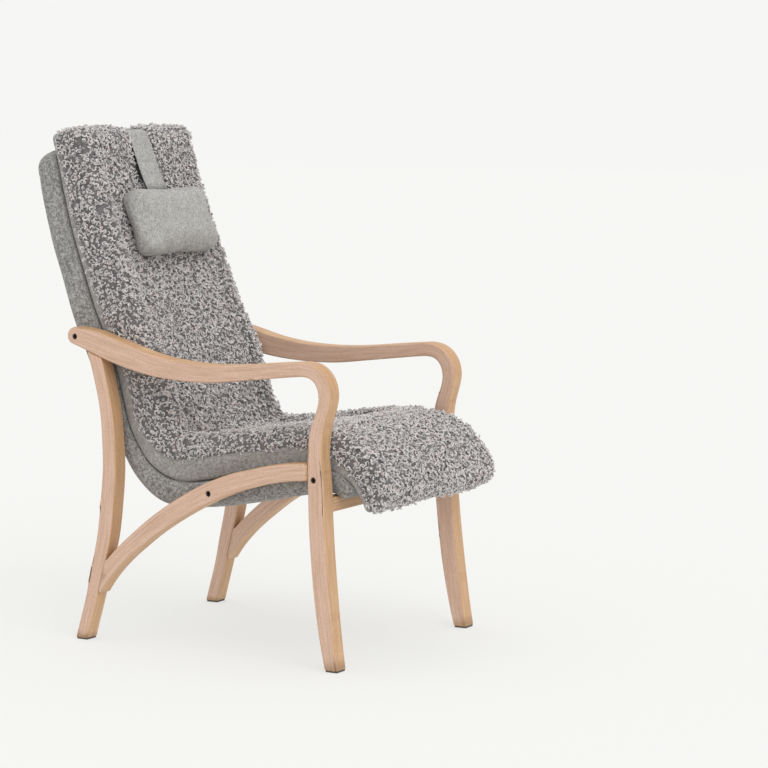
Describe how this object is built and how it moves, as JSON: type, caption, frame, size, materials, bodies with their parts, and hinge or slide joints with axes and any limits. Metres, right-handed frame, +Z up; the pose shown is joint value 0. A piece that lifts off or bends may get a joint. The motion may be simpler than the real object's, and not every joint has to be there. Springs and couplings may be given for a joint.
{
  "type": "armchair",
  "caption": "Lounge armchair: bentwood side frames, a felt-covered shell, a loose shearling pad and a neck pillow on a strap with a counterweight.",
  "frame": {"origin": "on the floor, under the middle of the chair's bounding box", "axes": "+X is the sitter's left, +Y is the back of the chair, +Z is up; the chair faces -Y"},
  "size_m": [0.5718, 0.8824, 1.0755],
  "materials": {
    "beech": "clear lacquer with a little white pigment, satin",
    "birch_ply": "bare, sanded",
    "felt": "grey melange wool felt",
    "shearling": "curly grey shearling",
    "foam": "open-cell foam",
    "fibre": "loose polyester fibre",
    "webbing": "woven elastic",
    "steel": "blackened",
    "brass": "machined",
    "glide": "matt",
    "zip": "matt"
  },
  "bodies": {
    "root": {"front_leg_arm_left": "beech", "rear_leg_left": "beech", "side_brace_left": "beech", "arm_dowel_left": "birch_ply", "brace_front_dowel_left": "birch_ply", "brace_rear_dowel_left": "birch_ply", "cross_rail_dowel_left": "birch_ply", "shell_rail_left": "birch_ply", "front_foot_glide_left": "glide", "rear_foot_glide_left": "glide", "arm_insert_left": "brass", "arm_spacer_left": "steel", "arm_bolt_left": "steel", "brace_insert_left": "brass", "brace_spacer_left": "steel", "brace_bolt_left": "steel", "leg_insert_left": "brass", "leg_spacer_left": "steel", "leg_bolt_left": "steel", "front_leg_arm_right": "beech", "rear_leg_right": "beech", "side_brace_right": "beech", "arm_dowel_right": "birch_ply", "brace_front_dowel_right": "birch_ply", "brace_rear_dowel_right": "birch_ply", "cross_rail_dowel_right": "birch_ply", "shell_rail_right": "birch_ply", "front_foot_glide_right": "glide", "rear_foot_glide_right": "glide", "arm_insert_right": "brass", "arm_spacer_right": "steel", "arm_bolt_right": "steel", "brace_insert_right": "brass", "brace_spacer_right": "steel", "brace_bolt_right": "steel", "leg_insert_right": "brass", "leg_spacer_right": "steel", "leg_bolt_right": "steel", "front_cross_rail": "beech", "shell_head_bar": "birch_ply", "shell_lumbar_bar": "birch_ply", "shell_seat_front_bar": "birch_ply", "webbing_1": "webbing", "webbing_2": "webbing", "webbing_3": "webbing", "webbing_4": "webbing", "webbing_5": "webbing", "webbing_6": "webbing", "shell_cover": "felt", "shell_zip": "zip", "pad_fleece": "shearling", "pad_cover": "felt", "pad_core": "foam", "neck_strap": "felt"},
    "neck_pillow": {"neck_pillow_cover": "felt", "neck_pillow_filling": "fibre"},
    "counterweight": {"counterweight_pouch": "felt", "counterweight_bar": "steel"}
  },
  "joints": [
    {"name": "neck_pillow_slide", "type": "slide", "parent": "root", "child": "neck_pillow", "axis": [0, 0.347, 0.9379], "range_m": [-0.1, 0.04], "deforming": ["neck_strap"]},
    {"name": "counterweight_slide", "type": "slide", "parent": "root", "child": "counterweight", "axis": [0, 0.3249, 0.9457], "range_m": [-0.04, 0.1], "deforming": ["neck_strap"]}
  ],
  "couplings": [
    {"joint": "counterweight_slide", "follows": "neck_pillow_slide", "ratio": -1}
  ]
}
